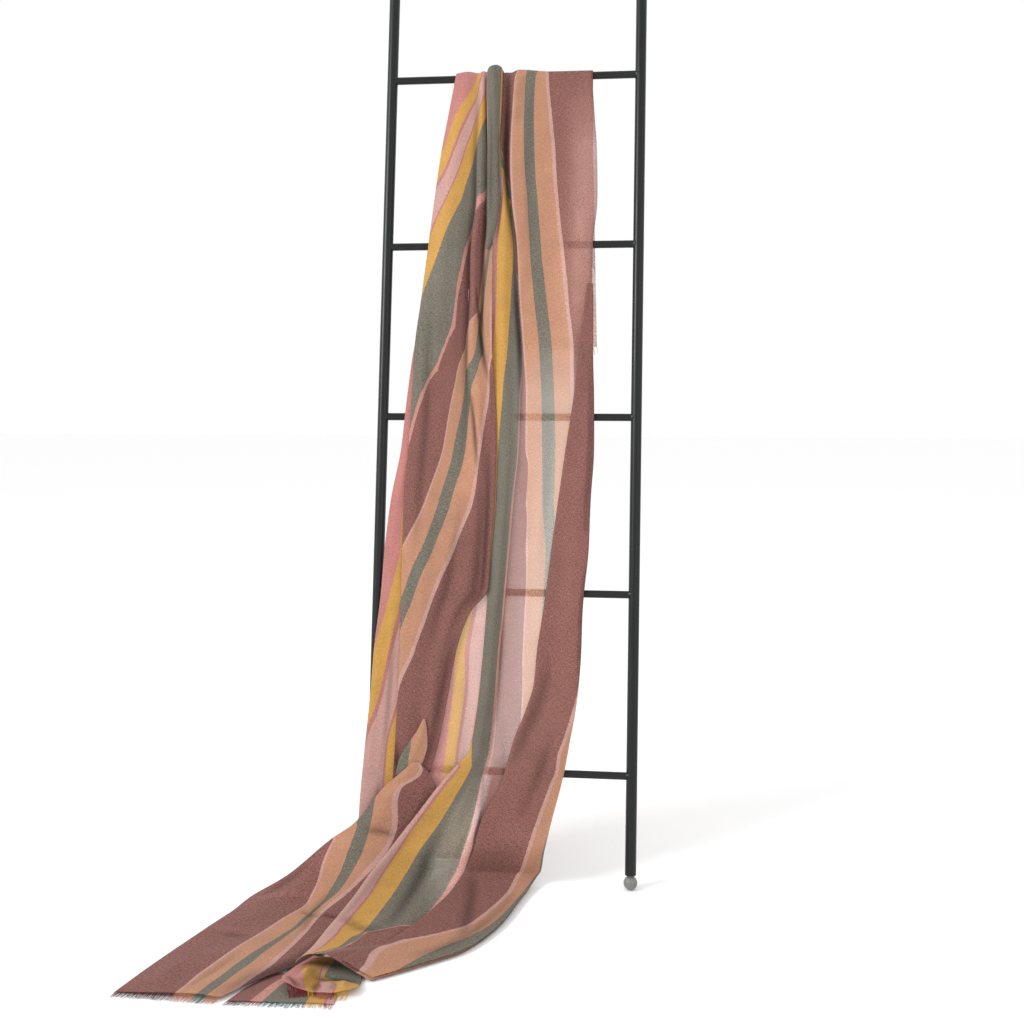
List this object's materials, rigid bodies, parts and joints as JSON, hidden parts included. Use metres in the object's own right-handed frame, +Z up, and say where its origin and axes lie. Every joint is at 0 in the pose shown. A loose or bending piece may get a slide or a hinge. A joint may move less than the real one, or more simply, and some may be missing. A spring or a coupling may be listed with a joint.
{
  "type": "scarf on a leaning ladder",
  "caption": "Long striped woven scarf with a short fringe, draped over the top rung of a plain leaning ladder, one end hanging behind and the other trailing on the floor.",
  "frame": {"origin": "on the floor, below the middle of the whole part's bounding box", "axes": "+X to the viewer's right along the rungs, +Y back towards the wall that the ladder leans on, +Z up"},
  "size_m": [0.6152, 0.631, 1.3776],
  "materials": {
    "steel": "satin near-black",
    "foot": "matte",
    "scarf_burgundy": "fine melange weave",
    "scarf_peach": "fine melange weave",
    "scarf_grey": "fine melange weave"
  },
  "bodies": {
    "root": {"rail_left": "steel", "rail_right": "steel", "foot_left": "foot", "foot_right": "foot", "rung_1": "steel", "rung_2": "steel", "rung_3": "steel", "rung_4": "steel", "rung_5": "steel", "upper_back": "scarf_burgundy", "upper_fall": "scarf_burgundy", "under_fall": "scarf_grey", "right_back": "scarf_peach", "right_fall": "scarf_peach", "right_train": "scarf_grey", "ridge_fold": "scarf_grey", "right_flap": "scarf_burgundy", "flap_train": "scarf_burgundy", "pleat_leaf": "scarf_peach", "left_train": "scarf_burgundy", "hem_under": "scarf_grey", "hem_fold": "scarf_peach", "left_fringe": "scarf_burgundy", "under_fringe": "scarf_grey", "fold_fringe": "scarf_peach", "back_fringe_left": "scarf_burgundy", "back_fringe_right": "scarf_peach"}
  },
  "joints": []
}
